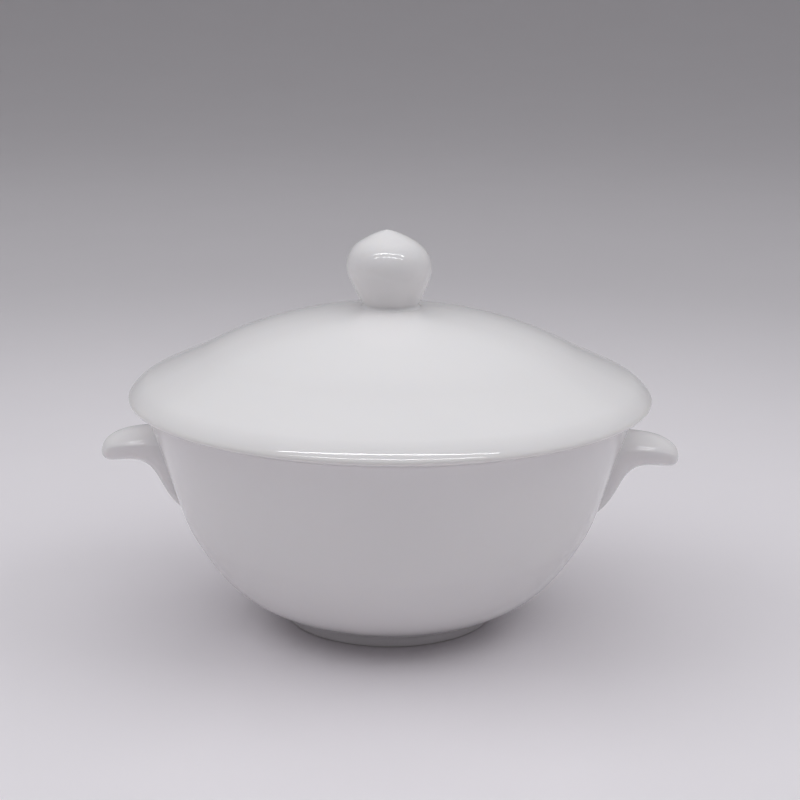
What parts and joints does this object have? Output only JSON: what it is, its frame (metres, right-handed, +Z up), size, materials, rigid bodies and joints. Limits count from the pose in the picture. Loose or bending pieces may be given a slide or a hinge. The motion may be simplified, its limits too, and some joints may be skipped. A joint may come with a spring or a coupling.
{
  "type": "lidded soup tureen",
  "caption": "Round glazed china tureen on a low foot ring, with lug handles at its sides and a lift-off domed lid with a flared brim and an onion-shaped knob.",
  "frame": {"origin": "centre of the foot ring, on the surface that the tureen stands on", "axes": "+Z up through the knob, +X towards the right handle, +Y to the back; the picture looks along +Y from above"},
  "size_m": [0.23, 0.205, 0.156],
  "materials": {
    "bowl_glaze": "smooth white gloss glaze",
    "foot_china": "glazed sides, bare fine-ground edge",
    "handle_glaze": "smooth white gloss glaze",
    "lid_glaze": "smooth white gloss glaze",
    "ring_glaze": "thin white glaze",
    "knob_glaze": "smooth white gloss glaze"
  },
  "bodies": {
    "pot": {"bowl": "bowl_glaze", "foot_ring": "foot_china", "right_handle": "handle_glaze", "left_handle": "handle_glaze"},
    "lid": {"lid": "lid_glaze", "lid_locating_ring": "ring_glaze", "lid_knob": "knob_glaze"}
  },
  "joints": [
    {"name": "lid_lift", "type": "slide", "parent": "pot", "child": "lid", "axis": [0, 0, 1], "range_m": [0, 0.12]}
  ]
}
